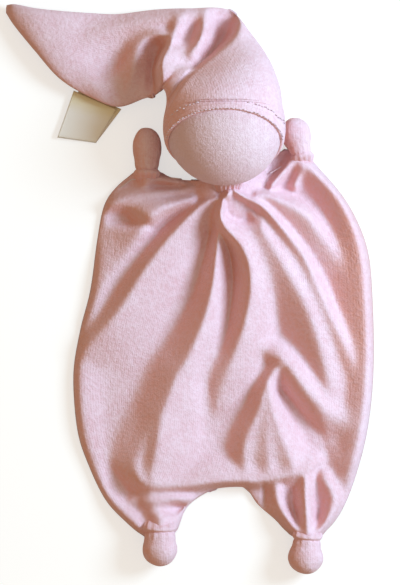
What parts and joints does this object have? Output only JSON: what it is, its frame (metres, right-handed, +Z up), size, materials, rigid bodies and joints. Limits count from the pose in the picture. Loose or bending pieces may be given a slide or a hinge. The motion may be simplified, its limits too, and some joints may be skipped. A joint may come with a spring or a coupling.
{
  "type": "comfort blanket lovey",
  "caption": "Plush velour comfort blanket doll with a stuffed round head, a long pointed cap and knotted corner balls, lying on its back.",
  "frame": {"origin": "below the middle of the whole object's bounding box, on the surface that it lies on", "axes": "+Y from the feet towards the head and cap, +X to the viewer's right when looking down on the face, +Z up from the surface, out of the face"},
  "size_m": [0.2576, 0.4014, 0.074],
  "materials": {
    "velour": "soft pink cotton velour",
    "face_velour": "soft pink cotton velour, a little paler",
    "wool": "loose wool stuffing",
    "thread": "pink sewing thread",
    "label_satin": "ivory satin ribbon, blank"
  },
  "bodies": {
    "blanket": {"front_panel": "velour", "back_panel": "velour", "edge_seam_thread": "thread", "neck_gather": "velour"},
    "neck": {"neck_knot": "velour", "neck_tie": "thread"},
    "head": {"head_stuffing": "wool", "face_cover": "face_velour", "hood": "velour", "hood_seam_thread": "thread"},
    "cap": {"cap_tip": "velour", "cap_seam_thread": "thread"},
    "label": {"care_label": "label_satin"},
    "hand_left": {"hand_left_cover": "velour", "hand_left_stuffing": "wool", "hand_left_tie": "thread"},
    "hand_right": {"hand_right_cover": "velour", "hand_right_stuffing": "wool", "hand_right_tie": "thread"},
    "foot_left": {"foot_left_cover": "velour", "foot_left_stuffing": "wool", "foot_left_tie": "thread"},
    "foot_right": {"foot_right_cover": "velour", "foot_right_stuffing": "wool", "foot_right_tie": "thread"}
  },
  "joints": [
    {"name": "head_nod", "type": "hinge", "parent": "blanket", "child": "neck", "pos_m": [0.02657, 0.06912, 0.028], "axis": [1, 0, 0], "range_deg": [0, 40]},
    {"name": "head_turn", "type": "hinge", "parent": "neck", "child": "head", "pos_m": [0.02657, 0.06912, 0.028], "axis": [0, 1, 0], "range_deg": [-20, 20]},
    {"name": "cap_swing", "type": "hinge", "parent": "head", "child": "cap", "pos_m": [0.02664, 0.19671, 0], "axis": [0, 0, 1], "range_deg": [-80, 0]},
    {"name": "label_flap", "type": "hinge", "parent": "cap", "child": "label", "pos_m": [-0.06689, 0.13315, 0.00662], "axis": [-0.9022, 0.4313, 0], "range_deg": [0, 110]},
    {"name": "hand_left_swing", "type": "hinge", "parent": "blanket", "child": "hand_left", "pos_m": [-0.03013, 0.08319, 0.01125], "axis": [1, 0, 0], "range_deg": [-30, 30]},
    {"name": "hand_right_swing", "type": "hinge", "parent": "blanket", "child": "hand_right", "pos_m": [0.07802, 0.09432, 0.01125], "axis": [1, 0, 0], "range_deg": [-30, 30]},
    {"name": "foot_left_swing", "type": "hinge", "parent": "blanket", "child": "foot_left", "pos_m": [-0.0211, -0.16608, 0.01325], "axis": [-1, 0, 0], "range_deg": [-30, 30]},
    {"name": "foot_right_swing", "type": "hinge", "parent": "blanket", "child": "foot_right", "pos_m": [0.0818, -0.17175, 0.01325], "axis": [-0.9976, 0.0698, 0], "range_deg": [-30, 30]}
  ]
}
